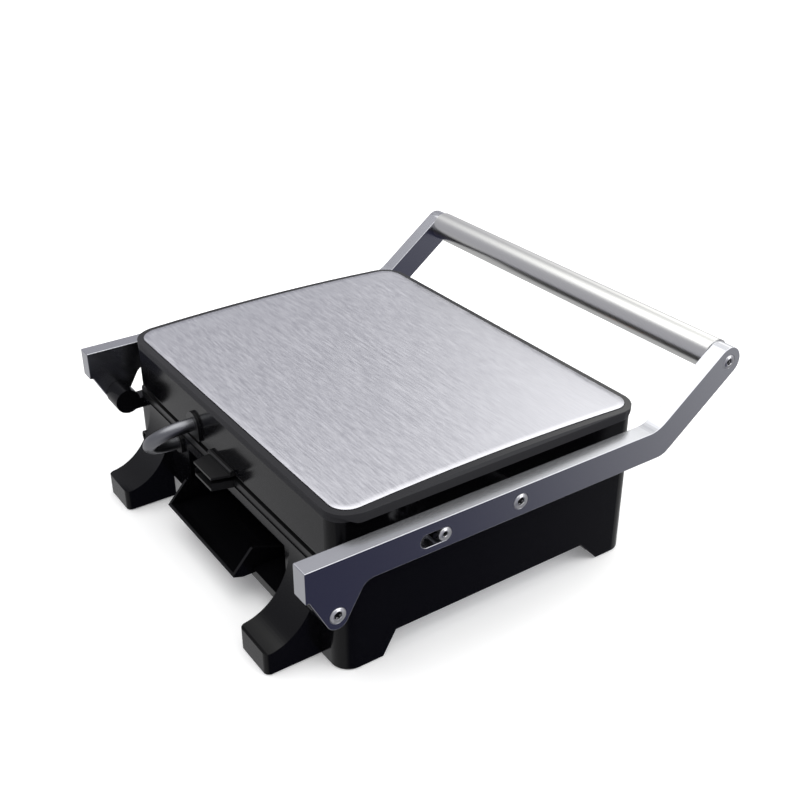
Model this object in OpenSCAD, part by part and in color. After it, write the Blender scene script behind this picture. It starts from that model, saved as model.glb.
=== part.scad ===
// Panini press: a heated base and a heated lid that floats between two swinging
// arms. Front (handle side) is -Y, the hinge and the drip tray are at +Y, +Z is up.
// The table is z = 0 and the origin is under the middle of the whole machine.

/* [Lid] */
// Width of the steel cover
cover_w = 280; // [240:1:340]
// Depth of the steel cover, front to rear
cover_d = 222.7; // [200:0.1:260]
// Thickness of the steel cover
cover_t = 1.4; // [1:0.1:2]
// How much higher the cover is in its middle than at its front and rear edges
cover_crown = 3.1; // [2:0.1:5]
// Corner radius of the steel cover
cover_corner = 13; // [8:1:20]
// Width of the plastic rim around the cover
rim_w = 4.8; // [4:0.1:7]
// Height of the cover's front and rear edges above the table
lid_top = 110; // [105:1:120]
// Height of the lid's lower edge above the table
lid_bottom = 74; // [73.5:0.5:78]
// Height of the skirt along each side of the rim
skirt_h = 6.4; // [4:0.1:9]
// Wall thickness of the lid frame
lid_wall = 2.6; // [2:0.1:4]

/* [Base] */
// Width of the base housing
base_w = 290; // [250:1:350]
// Depth of the base housing
base_d = 229; // [205:1:266]
// Height of the top edge of the base
base_top = 63; // [60:0.5:65]
// Height of the gap under the base between its feet
foot_gap = 17; // [13:1:20]
// Corner radius of the base and of the lid's body in plan
body_corner = 12; // [11:1:14]
// Wall thickness of the base housing
base_wall = 3; // [2:0.1:4]
// Width of each rear leg
leg_w = 33.5; // [20:0.5:36]
// How far the rear legs reach behind the base
leg_reach = 37.4; // [30:0.2:45]

/* [Plates] */
// Height of the lower plate's ridges above the base's top edge
ridge_rise = 5.4; // [4.5:0.1:7]
// Gap between the ridges of the two closed plates
plate_gap = 3.2; // [2.8:0.1:5]
// Distance from one ridge to the next
ridge_pitch = 10; // [8:0.5:14]
// Width of a ridge
ridge_w = 4; // [3:0.1:6]
// Depth of the grooves between the ridges
groove_depth = 2.4; // [1.5:0.1:3]
// Half width of the grease spout at its root
spout_root = 15.5; // [12:0.5:22]
// Half width of the grease spout at its tip
spout_tip = 11.8; // [9:0.1:16]
// How far the spout reaches behind the base wall
spout_reach = 14.5; // [10:0.5:16]

/* [Arms] */
// Thickness of each arm
arm_t = 12.2; // [9:0.1:15]
// Height of the bar that each arm is cut from
arm_h = 20.4; // [16:0.1:24]
// Gap between the lid's rim and each arm
arm_gap = 5.5; // [4.5:0.1:8]
// Distance of the hinge axis behind the lid's rear wall
hinge_back = 12.3; // [11:0.1:18]
// Height of the hinge axis above the table
hinge_z = 62.9; // [60:0.1:66]
// Distance of the handle's centre line in front of the lid's middle
handle_out = 173.2; // [160:0.2:195]
// Height of the handle's centre line
handle_z = 132; // [125:0.5:145]
// Diameter of the handle tube
handle_dia = 22.5; // [18:0.5:28]
// Length of each handle collar
collar_l = 7.5; // [5:0.5:15]
// Height of the lid's float pivot
float_z = 89.2; // [86:0.1:92]
// Shank diameter of the shoulder screws
screw_dia = 6; // [5:0.1:8]
// Head diameter of the shoulder screws
screw_head_dia = 10.2; // [9:0.1:14]

/* [Drip tray and conduit] */
// Outer width of the drip tray
tray_w = 99; // [80:1:104]
// Outer length of the drip tray's floor, front to rear
tray_l = 64; // [50:1:80]
// Wall thickness of the drip tray
tray_wall = 2.2; // [1.6:0.1:3]
// Outer diameter of the conduit between base and lid
conduit_dia = 9.4; // [7:0.1:11]

/* [Hidden] */
$fn = 64;

black = [0.06, 0.06, 0.07];
dark_grey = [0.16, 0.16, 0.17];
brushed = [0.74, 0.74, 0.77];
bright = [0.9, 0.9, 0.91];
rubber = [0.03, 0.03, 0.03];
amber = [0.9, 0.5, 0.1];

cut = 1;           // how far a cutting tool stands past what it cuts
run_fit = 0.06;    // radial clearance of a shaft that turns in a hole
slide_fit = 0.15;  // clearance of a piece that slides in a slot
seat_gap = 0.3;    // gap where two shells meet

// lid
rim_out_w = cover_w + 2 * rim_w;
rim_out_d = cover_d + 2 * rim_w;
rim_band_h = 2.4;
rim_drop = 0.5;
lid_body_w = cover_w + 1;
lid_body_d = rim_out_d - 0.6;
lid_rear = lid_body_d / 2;
crown_z = lid_top + cover_crown;
arch_r = (pow(cover_d / 2, 2) + pow(cover_crown, 2)) / (2 * cover_crown);
ledge_w = 6;
joint_line = 0.4;
boss_r = 8;
boss_l = 12;

// base: its rear wall is half a millimetre behind the lid's
base_rear = lid_rear + 0.5;
base_front = base_rear - base_d;
base_mid_y = (base_rear + base_front) / 2;
foot_clear = 0.8;
floor_t = 1.2;
foot_in = 15;
foot_block_r = 12.2;
foot_hole_r = 14;
pad_r = 8;
pad_h = 5;
cover_boss_r = 4.5;

// plates
plate_inset = 0.8;
lower_plate_top = base_top + ridge_rise;
upper_plate_z = lower_plate_top + plate_gap;
plate_under = 4;
block_w = lid_body_w - 2 * lid_wall - 1;
block_d = lid_body_d - 2 * lid_wall - 1;
groove_edge = 12;
flap_over = 0.8;
heater_r = 3.2;
heater_half = 70;
heater_edge = 26;
heater_mid = base_mid_y - 6;

// arms
arm_in = rim_out_w / 2 + arm_gap;
arm_out = arm_in + arm_t;
hinge_y = lid_rear + hinge_back;
handle_y = -handle_out;
arm_low = float_z - arm_h / 2;
arm_rear = hinge_y + 19.8;
end_r = arm_h / 2;
rise_from = -cover_d / 2 - 5.8;
rise_angle = atan2(handle_z - float_z, rise_from - handle_y);
lobe_r = 9.4;
head_t = 3.4;
head_proud = 0.4;
tube_wall = 1.6;
spigot_l = 14;
handle_screw_dia = 5;
handle_head_dia = 9.6;

// float lock slot in the left arm
slot_front = 51.2;
slot_l = 21.7;
slot_h = 9.1;
slot_z = float_z - 1;
lock_r = slot_h / 2 - slide_fit;
lock_y = slot_front + slot_h / 2 + slide_fit;
blade_t = 3;

// hinge brackets
bracket_in = base_w / 2 - 13.5;
bracket_r = 9.2;
neck_h = 8;

// drip tray and the housing that it slides into
leg_in = tray_w / 2 + 38;
leg_rear = base_rear + leg_reach;
leg_top = base_top - 1;
leg_tip_z = foot_gap - 1;
shelf_z = foot_gap + 6;
shelf_rear = base_rear + 7.8;
recess_left = -leg_in + 4.5;
recess_right = tray_w / 2 + 7.5;
recess_top = base_top - 5;
recess_y = base_rear - 17;
tray_low = foot_gap + floor_t + seat_gap;
tray_play = 0.5;
lip_y = base_rear + 21.8;
tray_front = lip_y - tray_l;
tray_peak = [lip_y - 15.5, tray_low + 19.5];
tray_step = [recess_y - seat_gap, tray_low + 10.2];

// conduit: where it leaves the lid and enters the base, as x and z
conduit_r = conduit_dia / 2;
grommet_neck = 1.2;
lid_exit = [40, lid_bottom + plate_under + conduit_r + grommet_neck + 0.1];
base_exit = [70, base_top - 8];
bend_r = norm(lid_exit - base_exit) / 2;
bend_y = base_rear + 6;
grommet_t = 2;
conduit_seat = 0.8;

// lamps, gland and inner parts
lamp_r = 4;
lamp_x = 12;
lamp_z = 45;
gland_x = base_w / 2 - 17.5;
gland_z = 32;
gland_bore = 3.6;
gland_r = 5;

// middle of the machine between its foremost and rearmost points
home_y = (handle_out + handle_dia / 2 - leg_rear) / 2;

// ---- helpers ------------------------------------------------------------

module place() translate([0, home_y, 0]) children();

module pair() {
  children();
  mirror([1, 0, 0]) children();
}

// a rounded rectangle in plan between two heights
module slab(w, d, r, z0, z1, y = 0) {
  translate([0, y, z0]) linear_extrude(z1 - z0) {
    square([w - 2 * r, d], center = true);
    square([w, d - 2 * r], center = true);
    for (sx = [-1, 1], sy = [-1, 1])
      translate([sx * (w / 2 - r), sy * (d / 2 - r)]) circle(r);
  }
}

// a box from its lowest to its highest corner
module box(low, high) translate(low) cube(high - low);

// an outline in Y and Z, extruded along X
module side_cut(x0, x1)
  translate([x0, 0, 0]) rotate([90, 0, 90]) linear_extrude(x1 - x0) children();

module rod_x(r, x0, x1, y, z)
  translate([x0, y, z]) rotate([0, 90, 0]) cylinder(r = r, h = x1 - x0);

module rod_y(r, y0, y1, x, z)
  translate([x, y1, z]) rotate([90, 0, 0]) cylinder(r = r, h = y1 - y0);

function unit(v) = v / norm(v);

// points of the arc of radius r that rounds corner b between a and c
function corner_arc(a, b, c, r, n) =
  let (u = unit(a - b), v = unit(c - b), half = acos(u * v) / 2)
  r == 0 ? [b] :
  let (m = b + unit(u + v) * r / sin(half),
       t0 = b + u * r / tan(half) - m,
       t1 = b + v * r / tan(half) - m,
       a0 = atan2(t0[1], t0[0]),
       turn = atan2(t1[1], t1[0]) - a0,
       sweep = turn > 180 ? turn - 360 : turn < -180 ? turn + 360 : turn)
  [for (i = [0:n]) m + r * [cos(a0 + sweep * i / n), sin(a0 + sweep * i / n)]];

// an outline given as corners [y, z, radius]
function rounded(p, n = 8) = [
  for (i = [0:len(p) - 1])
    let (a = p[(i + len(p) - 1) % len(p)], b = p[i], c = p[(i + 1) % len(p)])
    each corner_arc([a[0], a[1]], [b[0], b[1]], [c[0], c[1]], b[2], n)
];

// ---- lid ----------------------------------------------------------------

// everything under the cover's arched top, lowered by drop
module under_arch(drop)
  translate([-cover_w, 0, crown_z - arch_r]) rotate([0, 90, 0])
    cylinder(r = arch_r - drop, h = 2 * cover_w, $fn = 256);

module lid_cover() color(brushed) place()
  difference() {
    intersection() {
      slab(cover_w, cover_d, cover_corner, lid_top - 4, crown_z + cut);
      under_arch(0);
    }
    under_arch(cover_t);
  }

// side strips of the rim, deep along the sides and swept up at the corners
module skirts() {
  flat = rim_out_d / 2 - cover_corner - rim_w;
  band_z = lid_top - rim_band_h - rim_drop;
  side = lid_body_w / 2 - lid_wall;
  pair() side_cut(side, rim_out_w / 2)
    polygon(rounded([
      [-flat - 16, crown_z, 0], [-flat - 16, band_z, 0], [-flat - 12, band_z, 3],
      [-flat - 4, lid_top - skirt_h, 5], [flat + 4, lid_top - skirt_h, 5],
      [flat + 12, band_z, 3], [flat + 16, band_z, 0], [flat + 16, crown_z, 0]]));
}

module float_boss(r, x0, x1) pair() rod_x(r, x0, x1, 0, float_z);

module lid_frame() color(black) place()
  difference() {
    union() {
      intersection() {
        slab(rim_out_w, rim_out_d, cover_corner + rim_w, lid_bottom, crown_z);
        under_arch(rim_drop);
        union() {
          skirts();
          slab(rim_out_w + 2, rim_out_d + 2, cover_corner + rim_w,
               lid_top - rim_band_h - rim_drop, crown_z);
        }
      }
      slab(lid_body_w, lid_body_d, body_corner, lid_bottom, lid_top - rim_band_h);
    }
    // seat of the steel cover
    difference() {
      slab(cover_w + 2 * joint_line, cover_d + 2 * joint_line, cover_corner + joint_line,
           lid_top - 6, crown_z + cut);
      under_arch(cover_t);
    }
    // hollow of the lid, with a ledge left under the cover's edge
    slab(cover_w - 2 * ledge_w, cover_d - 2 * ledge_w, cover_corner,
         lid_bottom - cut, crown_z + cut);
    difference() {
      slab(lid_body_w - 2 * lid_wall, lid_body_d - 2 * lid_wall, body_corner - lid_wall,
           lid_bottom - cut, lid_top - skirt_h - cut);
      float_boss(boss_r, lid_body_w / 2 - boss_l, lid_body_w / 2);
    }
    float_boss(screw_dia / 2, lid_body_w / 2 - boss_l - cut, lid_body_w / 2 + cut);
    rod_y(conduit_r + grommet_neck, lid_rear - lid_wall - cut, lid_rear + cut,
          lid_exit[0], lid_exit[1]);
  }

// cutting bars for the grooves between the ridges
module grooves(z0, z1) {
  grooved_w = min(base_w, lid_body_w) - 2 * groove_edge;
  grooved_d = min(base_d, lid_body_d) - 2 * groove_edge;
  n = floor(grooved_w / ridge_pitch);
  half = (ridge_pitch - ridge_w) / 2;
  for (i = [0:n - 1])
    let (x = (i - (n - 1) / 2) * ridge_pitch)
    box([x - half, base_mid_y - grooved_d / 2, z0], [x + half, base_mid_y + grooved_d / 2, z1]);
}

module spout_plan(grow = 0) {
  y0 = base_rear - 14;
  y1 = base_rear + spout_reach;
  polygon([
    [-spout_root - grow, y0], [spout_root + grow, y0], [spout_root + grow, base_rear + 1],
    [spout_tip + grow, y1], [-spout_tip - grow, y1], [-spout_root - grow, base_rear + 1]]);
}

module upper_grill_plate() color(dark_grey) place()
  difference() {
    union() {
      slab(lid_body_w - 2 * plate_inset, lid_body_d - 2 * plate_inset, body_corner - plate_inset,
           upper_plate_z, lid_bottom);
      slab(block_w, block_d, body_corner - lid_wall, lid_bottom - cut, lid_bottom + plate_under);
      translate([0, 0, upper_plate_z]) linear_extrude(1.6) spout_plan(flap_over);
      // the flap's root is a bead against the foot of the lid's rear wall
      side_cut(-spout_root - flap_over, spout_root + flap_over)
        polygon(rounded([
          [lid_rear - 2, upper_plate_z, 0], [lid_rear + 3, upper_plate_z, 0],
          [lid_rear + 3, lid_bottom + 2, 1.4], [lid_rear + 0.1, lid_bottom + 2, 0],
          [lid_rear + 0.1, lid_bottom, 0], [lid_rear - 2, lid_bottom, 0]]));
    }
    grooves(upper_plate_z - cut, upper_plate_z + groove_depth);
  }

// a round bar bent to a level hairpin: two legs to end_y and a half turn about bend_y
module hairpin(r, half_w, bend_y, end_y) {
  for (s = [-1, 1]) rod_y(r, min(bend_y, end_y), max(bend_y, end_y), s * half_w, 0);
  translate([0, bend_y, 0]) rotate([0, 0, end_y > bend_y ? 180 : 0])
    rotate_extrude(angle = 180) translate([half_w, 0]) circle(r, $fn = 32);
}

module upper_heating_element() color(bright) place()
  translate([0, 0, lid_bottom + plate_under + heater_r])
    hairpin(heater_r, heater_half, heater_half + heater_edge - cover_d / 2,
            cover_d / 2 - heater_edge);

module upper_reflector() color(bright) place()
  slab(cover_w - 2 * ledge_w - 30, cover_d - 2 * ledge_w - 6, 10,
       lid_bottom + plate_under + 2 * heater_r, lid_bottom + plate_under + 2 * heater_r + 1);

// socket-head shoulder screw on the right side, from its tip out to its head
module shoulder_screw(y, z, tip_x, head_d = screw_head_dia, d = screw_dia) {
  socket_r = head_d * 0.27;
  difference() {
    union() {
      rod_x(head_d / 2, arm_out - head_t, arm_out + head_proud, y, z);
      rod_x(d / 2, tip_x, arm_out - head_t, y, z);
    }
    translate([arm_out - head_t / 2, y, z]) rotate([0, 90, 0])
      cylinder(r = socket_r, h = head_t, $fn = 6);
  }
}

module float_screws() color(bright) place()
  pair() shoulder_screw(0, float_z, lid_body_w / 2 - boss_l);

module float_spacers() color(bright) place()
  difference() {
    float_boss(7, lid_body_w / 2, arm_in - seat_gap);
    float_boss(screw_dia / 2, lid_body_w / 2 - cut, arm_in);
  }

// ---- arms and handle ----------------------------------------------------

function arm_outline() =
  let (along = [-cos(rise_angle), sin(rise_angle)],
       across = [sin(rise_angle), cos(rise_angle)],
       tip = [handle_y, handle_z] + along * end_r,
       up = tip + across * end_r,
       low = tip - across * end_r,
       mitre = end_r * tan(rise_angle / 2))
  rounded([
    [arm_rear, arm_low + arm_h, 0.8],
    [rise_from + mitre, arm_low + arm_h, 25],
    [up[0], up[1], end_r - 0.1],
    [low[0], low[1], end_r - 0.1],
    [rise_from - mitre, arm_low, 15],
    [hinge_y - 18.7, arm_low, 9],
    [hinge_y - 3.8, hinge_z - lobe_r, 7],
    [hinge_y + 4.6, hinge_z - lobe_r, 7],
    [arm_rear - 2.4, arm_low, 0.8],
    [arm_rear, arm_low, 0.4]]);

module screw_seat(y, z, head_d, d, fit) {
  rod_x(d / 2 + fit, arm_in - cut, arm_out + cut, y, z);
  rod_x(head_d / 2 + fit, arm_out - head_t - fit, arm_out + cut, y, z);
}

module arm_blank()
  difference() {
    side_cut(arm_in, arm_out) polygon(arm_outline());
    screw_seat(hinge_y, hinge_z, screw_head_dia, screw_dia, run_fit);
    screw_seat(0, float_z, screw_head_dia, screw_dia, run_fit);
    screw_seat(handle_y, handle_z, handle_head_dia, handle_screw_dia, 0);
  }

module arm_right() color(brushed) place() arm_blank();

module arm_left() color(brushed) place()
  difference() {
    mirror([1, 0, 0]) arm_blank();
    for (end = [slot_front + slot_h / 2, slot_front + slot_l - slot_h / 2])
      rod_x(slot_h / 2, -arm_out - cut, -arm_in + cut, end, slot_z);
    box([-arm_out - cut, slot_front + slot_h / 2, slot_z - slot_h / 2],
        [-arm_in + cut, slot_front + slot_l - slot_h / 2, slot_z + slot_h / 2]);
  }

module handle_tube() color(bright) place()
  difference() {
    rod_x(handle_dia / 2, -arm_in + collar_l, arm_in - collar_l, handle_y, handle_z);
    rod_x(handle_dia / 2 - tube_wall, -arm_in, arm_in, handle_y, handle_z);
  }

module handle_collars() color(bright) place()
  pair() difference() {
    union() {
      rod_x(handle_dia / 2, arm_in - collar_l, arm_in, handle_y, handle_z);
      rod_x(handle_dia / 2 - tube_wall, arm_in - collar_l - spigot_l, arm_in - collar_l,
            handle_y, handle_z);
    }
    rod_x(handle_screw_dia / 2, arm_in - collar_l - 8, arm_in + cut, handle_y, handle_z);
  }

module handle_screws() color(bright) place()
  pair() shoulder_screw(handle_y, handle_z, arm_in - collar_l - 8,
                        handle_head_dia, handle_screw_dia);

// ---- float lock ---------------------------------------------------------

module lock_slider() color(bright) place()
  difference() {
    union() {
      rod_x(lock_r, -arm_out - head_proud, -arm_in + 0.5, lock_y, slot_z);
      rod_x(lock_r + 1.5, -arm_in + 0.5, -arm_in + 2.5, lock_y, slot_z);
    }
    rod_x(1.6, -arm_out - cut, -arm_out + 2, lock_y, slot_z);
    box([-arm_out + 2, lock_y + 1, slot_z - blade_t / 2],
        [-arm_in - 1, lock_y + lock_r + cut, slot_z + blade_t / 2]);
  }

// flat spring blade that holds the slider at either end of its slot
module lock_blade() color(dark_grey) place()
  box([-arm_out + 2, lock_y + 1, slot_z - blade_t / 2],
      [-arm_in - 1, lock_y + lock_r + 2.5, slot_z + blade_t / 2]);

// ---- base ---------------------------------------------------------------

// the spaces between the feet, seen from the side, the front and the rear
module foot_gaps() {
  side_cut(-base_w, base_w) polygon([
    [base_front + 24.5, -cut], [base_front + 41.5, foot_gap],
    [base_rear - 38.5, foot_gap], [base_rear - 28, -cut]]);
  for (y = [base_front - cut, base_rear - foot_block_r - base_wall])
    translate([0, y + foot_block_r + base_wall + cut, 0]) rotate([90, 0, 0])
      linear_extrude(foot_block_r + base_wall + cut)
        polygon([[-base_w / 2 + 27, -cut], [-base_w / 2 + 36, foot_gap],
                 [base_w / 2 - 36, foot_gap], [base_w / 2 - 27, -cut]]);
}

module at_feet()
  for (sx = [-1, 1], y = [base_front + foot_in, base_rear - foot_in])
    translate([sx * (base_w / 2 - foot_in), y, 0]) children();

module at_cover_screws()
  for (sx = [-1, 1], y = [-58, 0, 50])
    translate([sx * (base_w / 2 - base_wall - cover_boss_r + 0.5), base_mid_y + y, 0]) children();

module recess_outer() {
  box([recess_left, recess_y - 2, foot_gap], [recess_right, base_rear, recess_top]);
  box([-tray_w / 2 - tray_play - 2, tray_front - 3, foot_gap],
      [tray_w / 2 + tray_play + 2, recess_y, tray_step[1] + 2.5]);
  box([recess_left, base_rear - cut, foot_gap], [recess_right, shelf_rear, shelf_z]);
}

module base_housing() color(black) place()
  difference() {
    union() {
      difference() {
        slab(base_w, base_d, body_corner, foot_clear, base_top, base_mid_y);
        slab(base_w - 2 * base_wall, base_d - 2 * base_wall, body_corner - base_wall,
             -cut, base_top + cut, base_mid_y);
      }
      at_feet() translate([0, 0, foot_clear]) cylinder(r = foot_block_r, h = foot_gap);
      at_cover_screws() translate([0, 0, foot_gap + floor_t]) cylinder(r = cover_boss_r, h = 14);
    }
    foot_gaps();
    box([recess_left, base_rear - base_wall - cut, -cut],
        [recess_right, base_rear + cut, recess_top]);
    at_feet() translate([0, 0, -cut]) cylinder(r = pad_r, h = pad_h + cut);
    at_cover_screws() translate([0, 0, foot_gap]) cylinder(r = 1.5, h = 12);
    pair() rod_y(lamp_r, base_front - cut, base_front + base_wall + cut, lamp_x, lamp_z);
    rod_y(gland_r, base_rear - body_corner, base_rear + cut, gland_x, gland_z);
    rod_y(conduit_r + grommet_neck, base_rear - base_wall - cut, base_rear + cut,
          base_exit[0], base_exit[1]);
  }

module bottom_cover() color(brushed) place()
  difference() {
    slab(base_w - 2 * base_wall - seat_gap, base_d - 2 * base_wall - seat_gap,
         body_corner - base_wall, foot_gap, foot_gap + floor_t, base_mid_y);
    at_feet() cylinder(r = foot_hole_r, h = foot_gap + 5);
    at_cover_screws() cylinder(r = 1.8, h = foot_gap + 5);
    recess_outer();
  }

module bottom_cover_screws() color(bright) place()
  at_cover_screws() {
    translate([0, 0, foot_gap - 1.8]) cylinder(r = 3, h = 1.8);
    translate([0, 0, foot_gap - 1]) cylinder(r = 1.5, h = 11);
  }

module tray_housing() color(black) place()
  difference() {
    recess_outer();
    box([recess_left + 2, recess_y, shelf_z],
        [recess_right - 2, shelf_rear + cut, recess_top - 2]);
    box([-tray_w / 2 - tray_play, tray_front - seat_gap, foot_gap + floor_t],
        [tray_w / 2 + tray_play, shelf_rear + cut, tray_step[1] + seat_gap]);
  }

module lower_grill_plate() color(dark_grey) place()
  difference() {
    union() {
      slab(base_w - 2 * plate_inset, base_d - 2 * plate_inset, body_corner - plate_inset,
           base_top, lower_plate_top, base_mid_y);
      slab(base_w - 2 * base_wall - 1, base_d - 2 * base_wall - 1, body_corner - base_wall,
           base_top - plate_under, base_top + cut, base_mid_y);
      translate([0, 0, base_top]) linear_extrude(ridge_rise) spout_plan();
    }
    grooves(lower_plate_top - groove_depth, lower_plate_top + cut);
    // the channel that drains the plate over the base's rear edge
    translate([0, -1.8, base_top + 1.8]) linear_extrude(ridge_rise) spout_plan(-1.8);
    box([-spout_tip, base_rear, base_top + 1.8],
        [spout_tip, base_rear + spout_reach + cut, base_top + ridge_rise + cut]);
  }

module lower_heating_element() color(bright) place()
  translate([0, heater_mid, base_top - plate_under - heater_r])
    hairpin(heater_r, heater_half, heater_half + heater_edge - base_d / 2,
            base_d / 2 - heater_edge);

module lower_reflector() color(bright) place()
  slab(base_w - 30, base_d - 46, 10, base_top - 15, base_top - 14, heater_mid);

module thermostat() color(dark_grey) place()
  translate([0, heater_mid - 20, base_top - plate_under - 8]) cylinder(r = 13, h = 8);

module thermal_fuse() color(bright) place()
  rod_x(2.2, -11, 11, heater_mid + 20, base_top - plate_under - 2.2);

module terminal_block() color(bright) place()
  box([78, 55, foot_gap + floor_t], [114, 71, foot_gap + floor_t + 14]);

module indicator_lenses() color(amber) place()
  pair() {
    rod_y(lamp_r, base_front, base_front + 9, lamp_x, lamp_z);
    rod_y(lamp_r + 1.2, base_front - 1, base_front, lamp_x, lamp_z);
  }

module cord_gland() color(black) place()
  difference() {
    union() {
      rod_y(gland_r, base_rear - 9, base_rear + 4, gland_x, gland_z);
      rod_y(gland_r + 1.6, base_rear - 10, base_rear - 6.5, gland_x, gland_z);
    }
    rod_y(gland_bore, base_rear - 11, base_rear + 5, gland_x, gland_z);
  }

// the concave top of a leg is a quarter of an ellipse
function leg_outline() =
  concat(
    [[base_rear, foot_clear]],
    [for (t = [0:3:90])
      [leg_rear - leg_reach * cos(t), leg_top - (leg_top - leg_tip_z) * sin(t)]],
    [[leg_rear, foot_clear]]);

module rear_leg() {
  mid_x = leg_in + leg_w / 2;
  pad_y = leg_rear - pad_r - 4;
  difference() {
    intersection() {
      side_cut(leg_in, leg_in + leg_w) polygon(leg_outline());
      translate([mid_x, 0, 0]) slab(leg_w, 2 * leg_rear, 4, 0, base_top);
    }
    translate([mid_x, pad_y, -cut]) cylinder(r = pad_r, h = pad_h + cut);
  }
}

module rear_leg_right() color(black) place() rear_leg();

module rear_leg_left() color(black) place() mirror([1, 0, 0]) rear_leg();

module foot_pads() color(rubber) place() {
  at_feet() cylinder(r = pad_r, h = pad_h);
  pair() translate([leg_in + leg_w / 2, leg_rear - pad_r - 4, 0]) cylinder(r = pad_r, h = pad_h);
}

module hinge_bracket()
  difference() {
    union() {
      rod_x(bracket_r, bracket_in, arm_in - seat_gap, hinge_y, hinge_z);
      box([bracket_in + 1, base_rear - body_corner, hinge_z - bracket_r + 1],
          [base_w / 2 - 1, hinge_y, hinge_z - bracket_r + 1 + neck_h]);
    }
    slab(base_w, base_d, body_corner, 0, base_top, base_mid_y);
    slab(base_w - 2 * plate_inset, base_d - 2 * plate_inset, body_corner - plate_inset,
         base_top - cut, lower_plate_top + cut, base_mid_y);
    rod_x(screw_dia / 2, bracket_in + 5, arm_in, hinge_y, hinge_z);
  }

module hinge_bracket_right() color(black) place() hinge_bracket();

module hinge_bracket_left() color(black) place() mirror([1, 0, 0]) hinge_bracket();

module hinge_screws() color(bright) place()
  pair() shoulder_screw(hinge_y, hinge_z, bracket_in + 5);

// ---- conduit between base and lid ---------------------------------------

// a rubber bush in a rear wall, with a flange that reaches down to foot_z; the
// conduit sits in its mouth
module grommet(exit, wall_y, flange_r, wall, foot_z)
  difference() {
    union() {
      rod_y(flange_r, wall_y, wall_y + grommet_t, exit[0], exit[1]);
      box([exit[0] - flange_r, wall_y, foot_z], [exit[0] + flange_r, wall_y + grommet_t, exit[1]]);
      rod_y(conduit_r + grommet_neck, wall_y - wall - 0.4, wall_y, exit[0], exit[1]);
    }
    rod_y(conduit_r + run_fit, wall_y + conduit_seat, wall_y + grommet_t + cut,
          exit[0], exit[1]);
    rod_y(conduit_r - cut, wall_y - wall - 3, wall_y + grommet_t, exit[0], exit[1]);
  }

module lid_grommet() color(black) place()
  grommet(lid_exit, lid_rear, 9, lid_wall, lid_bottom + 0.4);

module base_grommet() color(black) place()
  grommet(base_exit, base_rear, 7.4, base_wall, base_exit[1] - 5);

module power_conduit() color(bright) place() {
  chord = lid_exit - base_exit;
  mid = (lid_exit + base_exit) / 2;
  translate([mid[0], 0, mid[1]]) rotate([0, -atan2(chord[1], chord[0]), 0])
    hairpin(conduit_r, bend_r, bend_y, base_rear + conduit_seat);
}

// ---- drip tray ----------------------------------------------------------

module drip_tray() color(black) place()
  difference() {
    side_cut(-tray_w / 2, tray_w / 2) polygon(rounded([
      [tray_front, tray_low, 1], [lip_y - 7, tray_low, 9], [lip_y, tray_low + 2.4, 0.5],
      [tray_peak[0], tray_peak[1], 3], [tray_step[0], tray_step[1], 0],
      [tray_front, tray_step[1], 1]]));
    // hollow, open at the top and down to a low lip at the rear
    side_cut(-tray_w / 2 + tray_wall, tray_w / 2 - tray_wall) polygon([
      [tray_front + tray_wall, tray_low + tray_wall],
      [lip_y - 8, tray_low + tray_wall],
      [lip_y - tray_wall, tray_low + 4],
      [lip_y + cut, tray_low + 5],
      [lip_y, tray_peak[1] + cut],
      [tray_front + tray_wall, tray_peak[1] + cut]]);
  }

base_housing();
bottom_cover();
tray_housing();
lower_grill_plate();
lower_heating_element();
lower_reflector();
rear_leg_left();
rear_leg_right();
hinge_bracket_left();
hinge_bracket_right();
hinge_screws();
foot_pads();
thermostat();
thermal_fuse();
terminal_block();
indicator_lenses();
cord_gland();
base_grommet();
bottom_cover_screws();
power_conduit();
arm_left();
arm_right();
handle_tube();
handle_collars();
handle_screws();
lid_frame();
lid_cover();
upper_grill_plate();
upper_heating_element();
upper_reflector();
float_screws();
float_spacers();
lid_grommet();
lock_slider();
lock_blade();
drip_tray();
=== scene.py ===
import math

import bmesh
import bpy
from mathutils import Matrix, Vector


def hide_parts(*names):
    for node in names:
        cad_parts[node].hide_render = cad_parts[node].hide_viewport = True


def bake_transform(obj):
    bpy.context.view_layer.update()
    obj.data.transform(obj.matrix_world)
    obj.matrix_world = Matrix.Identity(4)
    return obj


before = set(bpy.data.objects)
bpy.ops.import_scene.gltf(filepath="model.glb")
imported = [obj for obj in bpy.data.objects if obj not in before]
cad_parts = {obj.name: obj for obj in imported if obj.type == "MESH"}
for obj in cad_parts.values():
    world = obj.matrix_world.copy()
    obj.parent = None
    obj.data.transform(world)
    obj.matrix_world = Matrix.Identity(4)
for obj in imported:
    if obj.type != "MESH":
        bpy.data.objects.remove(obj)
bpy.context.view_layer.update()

mm = 0.001


# ---- table ------------------------------------------------------------------
# The machine stands on seamless white paper. It is matt and partly lit from below,
# so it takes only a soft shadow; it is kept out of reflections, which see the tent.

def linear(hex_colour, alpha=1.0):
    """An sRGB hex colour as the linear colour that a shader takes."""
    parts = [int(hex_colour[i:i + 2], 16) / 255 for i in (1, 3, 5)]
    return [p / 12.92 if p <= 0.04045 else ((p + 0.055) / 1.055) ** 2.4 for p in parts] + [alpha]


def add(tree, kind, settings=None, links=None):
    """Adds one node: settings are its properties or socket values, links its inputs."""
    node = tree.nodes.new(kind)
    for name, value in (settings or {}).items():
        if isinstance(name, int) or name in node.inputs:
            node.inputs[name].default_value = value
        else:
            setattr(node, name, value)
    for name, output in (links or {}).items():
        tree.links.new(output, node.inputs[name])
    return node


def new_material(name):
    """A material with an empty node tree; returns it and its tree."""
    material = bpy.data.materials.new(name)
    material.use_nodes = True
    material.node_tree.nodes.clear()
    return material, material.node_tree


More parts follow.
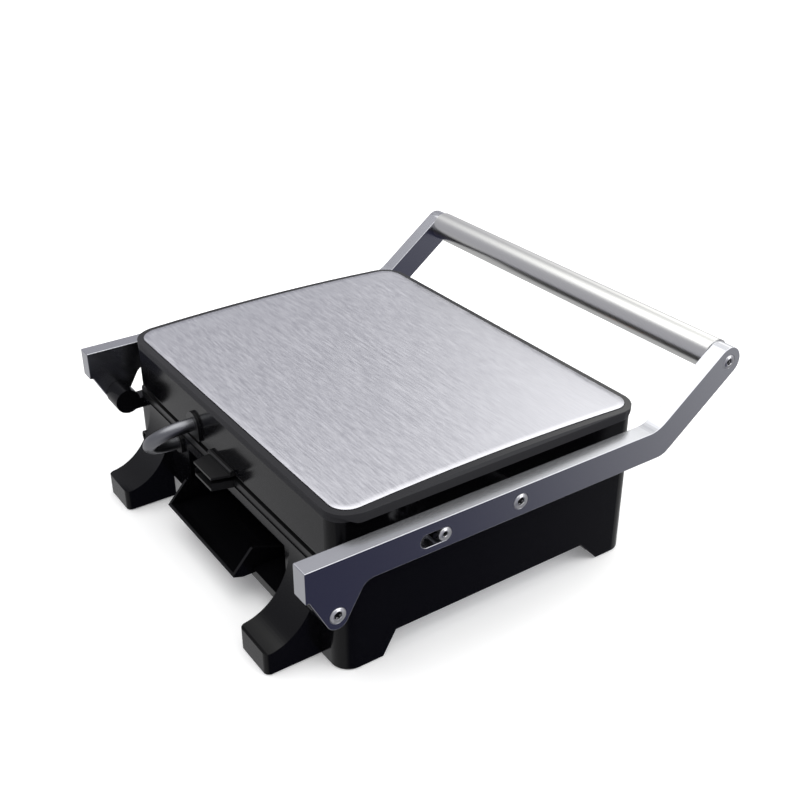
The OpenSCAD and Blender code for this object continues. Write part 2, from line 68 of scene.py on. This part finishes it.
def finish_with(tree, shader):
    """Sends a shader to the tree's output."""
    add(tree, "ShaderNodeOutputMaterial", {}, {"Surface": shader.outputs[0]})


def new_piece(name, bm, material):
    """Makes an object of a finished bmesh, at the origin."""
    mesh = bpy.data.meshes.new(name)
    bm.to_mesh(mesh)
    bm.free()
    mesh.materials.append(material)
    piece = bpy.data.objects.new(name, mesh)
    bpy.context.collection.objects.link(piece)
    return piece


table_w = 8.0
paper_glow = 0.14
paper, tree = new_material("white_matt_paper")
front_lit = add(tree, "ShaderNodeBsdfDiffuse", {"Color": linear("#F6F6F6")})
back_lit = add(tree, "ShaderNodeEmission", {"Color": [1, 1, 1, 1], "Strength": paper_glow})
finish_with(tree, add(tree, "ShaderNodeAddShader", {},
                      {0: front_lit.outputs[0], 1: back_lit.outputs[0]}))
bm = bmesh.new()
bmesh.ops.create_grid(bm, x_segments=1, y_segments=1, size=table_w / 2)
table = new_piece("table", bm, paper)
table.visible_glossy = False


# ---- light tent -------------------------------------------------------------
# White cloth hangs all round, brightest overhead and at the front, where the key
# light stands behind it. The near side is flagged off with dark blue card, and a
# small light above the card picks out the edges of the arms.

key_side = Vector((0.224, -0.836, 0.50)).normalized()
card_side = Vector((-0.8, -0.1, -0.6)).normalized()
edge_side = Vector((-0.62, -0.47, 0.63)).normalized()
up, down = Vector((0, 0, 1)), Vector((0, 0, -1))

cloth_colour = [0.48, 0.48, 0.52, 1]
bounce_colour = [0.60, 0.60, 0.61, 1]
roof_colour = [1.3, 1.3, 1.28, 1]
key_colour = [2.5, 2.5, 2.42, 1]
card_colour = linear("#35364F")
edge_colour = [3.0, 3.0, 3.0, 1]

world = bpy.data.worlds.new("light_tent")
world.use_nodes = True
tree = world.node_tree
tree.nodes.clear()
way = add(tree, "ShaderNodeTexCoord")


def share_towards(side, low, high):
    """0 to 1 as a direction turns towards side, between two cosines."""
    cosine = add(tree, "ShaderNodeVectorMath", {"operation": "DOT_PRODUCT", 1: side},
                 {0: way.outputs["Generated"]})
    return add(tree, "ShaderNodeMapRange", {
        "interpolation_type": "SMOOTHSTEP", "From Min": low, "From Max": high},
        {"Value": cosine.outputs["Value"]}).outputs["Result"]


def hang(under, colour, side, low, high):
    """Covers part of the tent, towards side, with another brightness."""
    return add(tree, "ShaderNodeMix", {"data_type": "RGBA", 7: colour}, {
        0: share_towards(side, low, high), 6: under}).outputs[2]


cloth = add(tree, "ShaderNodeRGB")
cloth.outputs[0].default_value = cloth_colour
tent = hang(cloth.outputs[0], bounce_colour, down, 0.0, 0.4)
tent = hang(tent, roof_colour, up, 0.60, 0.78)
tent = hang(tent, key_colour, key_side, 0.80, 1.0)
tent = hang(tent, card_colour, card_side, 0.68, 0.93)
tent = hang(tent, edge_colour, edge_side, 0.90, 0.97)
tent_light = add(tree, "ShaderNodeBackground", {}, {"Color": tent})
backdrop = add(tree, "ShaderNodeBackground", {"Color": [1, 1, 1, 1], "Strength": 1.0})
seen = add(tree, "ShaderNodeLightPath")
both = add(tree, "ShaderNodeMixShader", {}, {
    0: seen.outputs["Is Camera Ray"], 1: tent_light.outputs[0], 2: backdrop.outputs[0]})
add(tree, "ShaderNodeOutputWorld", {}, {"Surface": both.outputs[0]})
bpy.context.scene.world = world
bpy.context.scene.view_settings.view_transform = "Standard"

ceiling = bpy.data.lights.new("ceiling", "SUN")
ceiling.energy = 1.0
ceiling.angle = math.radians(70)
lamp = bpy.data.objects.new("ceiling", ceiling)
lamp.rotation_euler = (math.radians(-12), math.radians(8), 0)
bpy.context.collection.objects.link(lamp)


# ---- camera -----------------------------------------------------------------
# A 50 mm lens on a full frame, above and behind the machine's near rear corner.

camera_data = bpy.data.cameras.new("camera")
camera_data.lens = 50
camera_data.sensor_width = 36
camera_data.clip_start = 0.01
camera = bpy.data.objects.new("camera", camera_data)
camera.location = (-0.573647, 0.385095, 0.458981)
aim = Vector((0.0546, -0.04681, 0.040))
camera.rotation_mode = "QUATERNION"
camera.rotation_quaternion = (aim - camera.location).to_track_quat("-Z", "Y")
bpy.context.collection.objects.link(camera)
bpy.context.scene.camera = camera


# ---- base housing, legs and brackets ------------------------------------------
# Injection-moulded black ABS from polished tools: glossy, with a skin that is barely
# uneven over a few centimetres.

weld_gap = 0.002 * mm
flat_angle = math.radians(0.5)
sharp_angle = math.radians(40)
ripple_w = 25 * mm


def finish(material, *nodes, edge=0.0):
    """Gives CAD nodes a material, and rounds their sharp edges by edge.

    A CAD mesh is loose triangles, so its flat faces are joined before the bevel.
    """
    for name in nodes:
        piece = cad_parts[name]
        piece.data.materials.clear()
        piece.data.materials.append(material)
        if edge:
            weld = piece.modifiers.new("weld", "WELD")
            weld.merge_threshold = weld_gap
            flat = piece.modifiers.new("flat_faces", "DECIMATE")
            flat.decimate_type = "DISSOLVE"
            flat.angle_limit = flat_angle
            bevel = piece.modifiers.new("edges", "BEVEL")
            bevel.width = edge
            bevel.segments = 3
            bevel.limit_method = "ANGLE"
            bevel.angle_limit = sharp_angle
            bevel.use_clamp_overlap = False
            bevel.harden_normals = True


def moulded(name, colour, roughness, sheen, uneven=0.1 * mm, draft=None):
    """Moulded plastic or rubber, whose skin is uneven over about ripple_w.

    draft is a band's lower and upper heights, how far it leans in over them, and the
    lighter colour it is given above the lower height, partly for its satin texture and
    partly as painted sheen.
    """
    material, tree = new_material(name)
    place = add(tree, "ShaderNodeTexCoord")
    ripple = add(tree, "ShaderNodeTexNoise", {"Scale": 1 / ripple_w, "Detail": 1.0},
                 {"Vector": place.outputs["Object"]})
    bump = add(tree, "ShaderNodeBump", {"Strength": 0.2, "Distance": uneven},
               {"Height": ripple.outputs["Fac"]})
    skin = add(tree, "ShaderNodeRGB")
    skin.outputs[0].default_value = linear(colour)
    if draft:
        low, high, lean, satin_and_painted_sheen = draft
        at = add(tree, "ShaderNodeSeparateXYZ", {}, {"Vector": place.outputs["Object"]})
        lean_in = add(tree, "ShaderNodeMapRange", {
            "From Min": low, "From Max": high, "To Min": lean, "To Max": 0.0},
            {"Value": at.outputs["Z"]})
        bump = add(tree, "ShaderNodeBump", {"Strength": 1.0, "Distance": 1.0},
                   {"Height": lean_in.outputs["Result"], "Normal": bump.outputs["Normal"]})
        # above the band's foot the skin is drawn lighter: partly its satin texture, partly
        # painted sheen
        in_band = add(tree, "ShaderNodeMath", {"operation": "GREATER_THAN", 1: low},
                      {0: at.outputs["Z"]})
        skin = add(tree, "ShaderNodeMix", {"data_type": "RGBA", 7: linear(satin_and_painted_sheen)},
                   {0: in_band.outputs[0], 6: skin.outputs[0]})
    finish_with(tree, add(tree, "ShaderNodeBsdfPrincipled", {
        "Roughness": roughness, "IOR": 1.5, "Specular IOR Level": sheen}, {
        "Base Color": skin.outputs[2 if draft else 0], "Normal": bump.outputs["Normal"]}))
    return material


black_abs = moulded("black_abs", "#08080A", 0.15, 0.18)
finish(black_abs, "base_housing", "hinge_bracket_left", "hinge_bracket_right", "tray_housing")
finish(black_abs, "rear_leg_left", "rear_leg_right")


# ---- feet, gland and grommets -------------------------------------------------
# Black rubber: moulded with a dull skin on the feet and the gland, and satin on the
# grommets that the conduit passes through.

rubber = moulded("black_rubber", "#151516", 0.55, 0.5)
finish(rubber, "foot_pads", "cord_gland")
satin_rubber = moulded("satin_black_rubber", "#0E0E10", 0.3, 0.4)
finish(satin_rubber, "base_grommet", "lid_grommet")


# ---- bottom cover and screws ---------------------------------------------------
# Galvanised sheet with zinc-plated self-tapping screws.

def bare_metal(name, colour, roughness):
    """Plain metal, as it was rolled, drawn or plated."""
    material, tree = new_material(name)
    finish_with(tree, add(tree, "ShaderNodeBsdfPrincipled", {
        "Base Color": linear(colour), "Metallic": 1.0, "Roughness": roughness}))
    return material


galvanised = bare_metal("galvanised_steel", "#A9ABAD", 0.42)
finish(galvanised, "bottom_cover")
zinc_plate = bare_metal("bright_zinc_plate", "#C4C5C9", 0.24)
finish(zinc_plate, "bottom_cover_screws")


# ---- hinge screws ---------------------------------------------------------------
# Shoulder screws turned from steel and nickel-plated. The face of each head falls
# away to a rounded rim, and the hexagon socket is painted near-black as painted
# shade inside it.

hinge_y, hinge_z = 143.5 * mm, 62.9 * mm
hinge_head_r, hinge_socket_r = 5.1 * mm, 2.4 * mm
screw_edge = 0.6 * mm
flat_share, fall_share = 0.45, 0.3


def screw_finish(name, y, z, head_r, socket_r):
    """Nickel plate on a head whose axis runs along X through y and z.

    The face is flat out to flat_share of its radius, then falls by fall_share of it.
    Within socket_r of the axis it is painted near-black, as painted shade in the socket.
    """
    material, tree = new_material(name)
    place = add(tree, "ShaderNodeTexCoord")
    flat = add(tree, "ShaderNodeMapping", {
        "Location": (0, -y, -z), "Scale": (0, 1, 1)}, {"Vector": place.outputs["Object"]})
    from_axis = add(tree, "ShaderNodeVectorMath", {"operation": "LENGTH"},
                    {0: flat.outputs["Vector"]})
    fall = add(tree, "ShaderNodeMapRange", {
        "interpolation_type": "SMOOTHSTEP", "From Min": flat_share * head_r, "From Max": head_r,
        "To Min": 0.0, "To Max": fall_share * head_r}, {"Value": from_axis.outputs["Value"]})
    domed = add(tree, "ShaderNodeBump", {"Strength": 1.0, "Distance": 1.0, "invert": True},
                {"Height": fall.outputs["Result"]})
    # painted shade: within socket_r of the axis the head is coloured near-black
    painted_socket_shade = add(tree, "ShaderNodeMath", {"operation": "LESS_THAN", 1: socket_r},
                    {0: from_axis.outputs["Value"]})
    colour = add(tree, "ShaderNodeMix", {
        "data_type": "RGBA", 6: linear("#D0D0D3"), 7: linear("#1A1A1C")},
        {0: painted_socket_shade.outputs[0]})
    finish_with(tree, add(tree, "ShaderNodeBsdfPrincipled", {
        "Metallic": 1.0, "Roughness": 0.3},
        {"Base Color": colour.outputs[2], "Normal": domed.outputs["Normal"]}))
    return material


finish(screw_finish("hinge_screw_nickel", hinge_y, hinge_z, hinge_head_r, hinge_socket_r),
       "hinge_screws", edge=screw_edge)


# ---- grill plates ---------------------------------------------------------------
# Die-cast aluminium under a sprayed PTFE coating, which dries satin black and a
# little grainy.

coating = moulded("ptfe_coating", "#161617", 0.34, 0.35, 0.2 * mm)
finish(coating, "lower_grill_plate", "upper_grill_plate")


# ---- heaters and what is wired to them -------------------------------------------
# Steel-sheathed elements, a fuse and reflectors of bright aluminium, and the pale
# phenolic thermostat and terminal block.

sheath = bare_metal("heater_sheath", "#8C8782", 0.45)
finish(sheath, "lower_heating_element", "upper_heating_element")
reflector = bare_metal("bright_aluminium_sheet", "#D2D3D4", 0.28)
finish(reflector, "lower_reflector", "upper_reflector", "thermal_fuse")
phenolic = moulded("pale_phenolic", "#CFC8B4", 0.5, 0.5)
finish(phenolic, "thermostat", "terminal_block")


# ---- indicator lenses -------------------------------------------------------------
# Polished amber polycarbonate over the two lamps on the front. It is drawn opaque.

amber = moulded("amber_polycarbonate", "#C86A10", 0.08, 0.6, 0.01 * mm)
finish(amber, "indicator_lenses")


# ---- arms ---------------------------------------------------------------------------
# Cut from 12 mm aluminium bar, bead-blasted and anodised, so they are satin without
# lines. Their edges are broken by a small radius that catches the light.

arm_edge = 0.38 * mm
anodised = bare_metal("anodised_aluminium", "#BEBFC4", 0.24)
finish(anodised, "arm_left", "arm_right", edge=arm_edge)


# ---- handle -------------------------------------------------------------------------
# Polished stainless tube between two turned end collars, held by two screws.

handle_y, handle_z = -157.85 * mm, 132 * mm
handle_head_r, handle_socket_r = 4.8 * mm, 2.2 * mm
polished = bare_metal("polished_stainless_steel", "#D6D6D4", 0.28)
finish(polished, "handle_tube", "handle_collars")
# the handle screws' sockets are painted near-black, as painted shade
finish(screw_finish("handle_screw_nickel", handle_y, handle_z, handle_head_r, handle_socket_r),
       "handle_screws", edge=screw_edge)


# ---- lid frame ------------------------------------------------------------------------
# The lid's black moulding. The band round the steel cover leans in towards its top,
# so that it leaves the mould; the lean is in the shading, and the shape is upright.
# From the band's foot up it is drawn lighter, partly for its satin texture and partly
# as painted sheen.

band_low, band_high = 103.6 * mm, 109.6 * mm
band_lean = 2.4 * mm
lid_abs = moulded("black_abs_with_draft", "#08080A", 0.15, 0.18,
                  draft=(band_low, band_high, band_lean, "#262628"))
finish(lid_abs, "lid_frame")


# ---- steel cover ------------------------------------------------------------------------
# Stainless sheet, pressed to a slight arch, rolled down over the last 5 mm of its
# edge and brushed across its width. The real lines are 0.05 mm apart, too fine to
# show, so they are drawn 0.9 mm apart.

line_gap = 0.9 * mm
line_length = 12 * mm
cover_w, cover_d = 280 * mm, 222.7 * mm
cover_mid_y = 15.35 * mm
corner_r = 13 * mm
roll_w, roll_h = 5 * mm, 0.7 * mm
line_depth = 0.009 * mm
smoothest, roughest = 0.30, 0.46
steel, tree = new_material("brushed_stainless_steel")
place = add(tree, "ShaderNodeTexCoord")
lay = add(tree, "ShaderNodeMapping", {"Scale": (1 / line_length, 1 / line_gap, 1 / line_gap)},
          {"Vector": place.outputs["Object"]})
lines = add(tree, "ShaderNodeTexNoise", {"Scale": 1.0, "Detail": 3.0, "Roughness": 0.6},
            {"Vector": lay.outputs["Vector"]})
polish = add(tree, "ShaderNodeMapRange", {
    "From Min": 0.3, "From Max": 0.7, "To Min": smoothest, "To Max": roughest},
    {"Value": lines.outputs["Fac"]})
shade = add(tree, "ShaderNodeMix", {
    "data_type": "RGBA", 6: linear("#B4B4BB"), 7: linear("#D6D6DB")},
    {0: lines.outputs["Fac"]})
bump = add(tree, "ShaderNodeBump", {"Strength": 0.4, "Distance": line_depth},
           {"Height": lines.outputs["Fac"]})
# how far a point is past the corner centres' rectangle, then the rolled edge's drop;
# a metre is taken from z, which leaves z out of it
from_mid = add(tree, "ShaderNodeVectorMath", {"operation": "SUBTRACT", 1: (0, cover_mid_y, 0)},
               {0: place.outputs["Object"]})
positive = add(tree, "ShaderNodeVectorMath", {"operation": "ABSOLUTE"},
               {0: from_mid.outputs["Vector"]})
past = add(tree, "ShaderNodeVectorMath", {
    "operation": "SUBTRACT", 1: (cover_w / 2 - corner_r, cover_d / 2 - corner_r, 1)},
    {0: positive.outputs["Vector"]})
outside = add(tree, "ShaderNodeVectorMath", {"operation": "MAXIMUM", 1: (0, 0, 0)},
              {0: past.outputs["Vector"]})
reach = add(tree, "ShaderNodeVectorMath", {"operation": "LENGTH"},
            {0: outside.outputs["Vector"]})
rolled = add(tree, "ShaderNodeMapRange", {
    "From Min": corner_r - roll_w, "From Max": corner_r, "To Min": 0.0, "To Max": 1.0},
    {"Value": reach.outputs["Value"]})
drop = add(tree, "ShaderNodeMath", {"operation": "POWER", 1: 2.0},
           {0: rolled.outputs["Result"]})
roll = add(tree, "ShaderNodeBump", {"Strength": 1.0, "Distance": roll_h, "invert": True},
           {"Height": drop.outputs[0], "Normal": bump.outputs["Normal"]})
finish_with(tree, add(tree, "ShaderNodeBsdfPrincipled", {"Metallic": 1.0}, {
    "Base Color": shade.outputs[2], "Roughness": polish.outputs["Result"],
    "Normal": roll.outputs["Normal"]}))
finish(steel, "lid_cover")


# ---- float pivots and lock ----------------------------------------------------------------
# Nickel-plated shoulder screws and black spacers that the lid floats on, and the
# sliding pin with its blackened spring blade that locks it.

float_z = 89.2 * mm
float_head_r, float_socket_r = 5.1 * mm, 2.4 * mm
# the float screws' sockets are painted near-black, as painted shade
finish(screw_finish("float_screw_nickel", cover_mid_y, float_z, float_head_r, float_socket_r),
       "float_screws", edge=screw_edge)
pin_y, pin_z = 71.3 * mm, 88.2 * mm
pin_r, pin_hole_r = 4.4 * mm, 1.6 * mm
pin_edge = 0.5 * mm
# the hole in the lock pin is painted near-black, as painted shade
finish(screw_finish("lock_pin_nickel", pin_y, pin_z, pin_r, pin_hole_r),
       "lock_slider", edge=pin_edge)
blued = bare_metal("blackened_spring_steel", "#3C3C40", 0.35)
finish(blued, "lock_blade", "float_spacers")


# ---- conduit --------------------------------------------------------------------------------
# A plain satin sleeve round the lid's wires, in a half loop from the base's rear wall
# to the lid's. It is soft.


def only(kind, geometry):
    """The vertices or the edges among what a bmesh operator made."""
    return [g for g in geometry if isinstance(g, kind)]


sleeve = bare_metal("satin_sleeve", "#808185", 0.36)
low_end = Vector((70, 132.5, 55)) * mm
high_end = Vector((40, 132.5, 84)) * mm
straight = Vector((0, 5.2, 0)) * mm
sleeve_r = 4.65 * mm
sides_round = 32
rings_in_half_turn = 24

bm = bmesh.new()
bmesh.ops.create_circle(
    bm, cap_ends=False, segments=sides_round, radius=sleeve_r,
    matrix=Matrix.Translation(low_end) @ Matrix.Rotation(math.radians(90), 4, "X"))
ring = bm.edges[:]
grown = bmesh.ops.extrude_edge_only(bm, edges=ring)["geom"]
bmesh.ops.translate(bm, vec=straight, verts=only(bmesh.types.BMVert, grown))
ring = [edge for edge in only(bmesh.types.BMEdge, grown)
        if all(abs(v.co.y - low_end.y - straight.y) < 0.01 * mm for v in edge.verts)]
chord = high_end - low_end
half_turn = bmesh.ops.spin(
    bm, geom=ring, cent=(low_end + high_end) / 2 + straight,
    axis=Vector((0, 1, 0)).cross(chord).normalized(), angle=math.pi,
    steps=rings_in_half_turn, use_merge=False)["geom_last"]
grown = bmesh.ops.extrude_edge_only(
    bm, edges=only(bmesh.types.BMEdge, half_turn))["geom"]
bmesh.ops.translate(bm, vec=-straight, verts=only(bmesh.types.BMVert, grown))
bmesh.ops.remove_doubles(bm, verts=bm.verts[:], dist=0.001 * mm)
bmesh.ops.recalc_face_normals(bm, faces=bm.faces[:])
for face in bm.faces:
    face.smooth = True
conduit = new_piece("soft_conduit", bm, sleeve)
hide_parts("power_conduit")
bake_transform(conduit)


# ---- drip tray ---------------------------------------------------------------------------------
# A black moulded tray that pulls out from under the grease spout.

finish(black_abs, "drip_tray")
